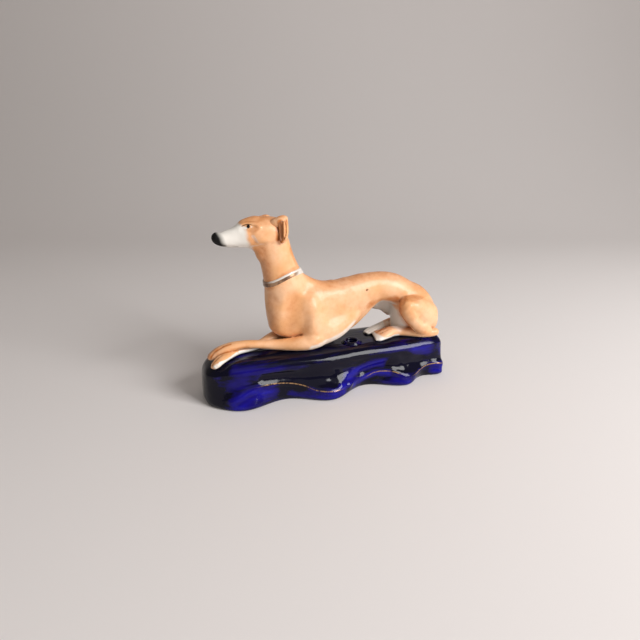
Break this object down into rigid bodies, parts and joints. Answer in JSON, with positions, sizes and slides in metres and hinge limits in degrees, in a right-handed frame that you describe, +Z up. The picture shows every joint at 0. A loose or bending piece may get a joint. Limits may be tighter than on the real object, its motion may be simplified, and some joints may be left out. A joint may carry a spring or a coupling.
{
  "type": "figural inkwell",
  "caption": "Glazed earthenware inkwell: a recumbent greyhound with crossed forelegs on a hollow cobalt mound that has a small ringed pen mouth.",
  "frame": {"origin": "centre of the bounding box in plan, at the table that the mound stands on", "axes": "+Z up, X along the mound with the dog looking towards -X, the dog's left side towards -Y"},
  "size_m": [0.16, 0.0579, 0.1114],
  "materials": {
    "fawn_glaze": "fawn enamel under a clear gloss glaze",
    "white_glaze": "clear gloss glaze over white clay",
    "cobalt_glaze": "deep cobalt under a clear gloss glaze",
    "worn_gilt": "thin gilding, worn through to the glaze",
    "bare_clay": "unglazed fired clay"
  },
  "bodies": {
    "root": {"mound_shell": "cobalt_glaze", "mound_floor": "bare_clay", "mouth_rim": "cobalt_glaze", "ink_cup": "white_glaze", "body_left_half": "fawn_glaze", "body_right_half": "fawn_glaze", "left_foreleg": "fawn_glaze", "right_foreleg": "fawn_glaze", "left_hind_leg": "fawn_glaze", "right_hind_leg": "fawn_glaze", "left_ear": "fawn_glaze", "right_ear": "fawn_glaze", "tail": "fawn_glaze", "collar": "worn_gilt"}
  },
  "joints": []
}
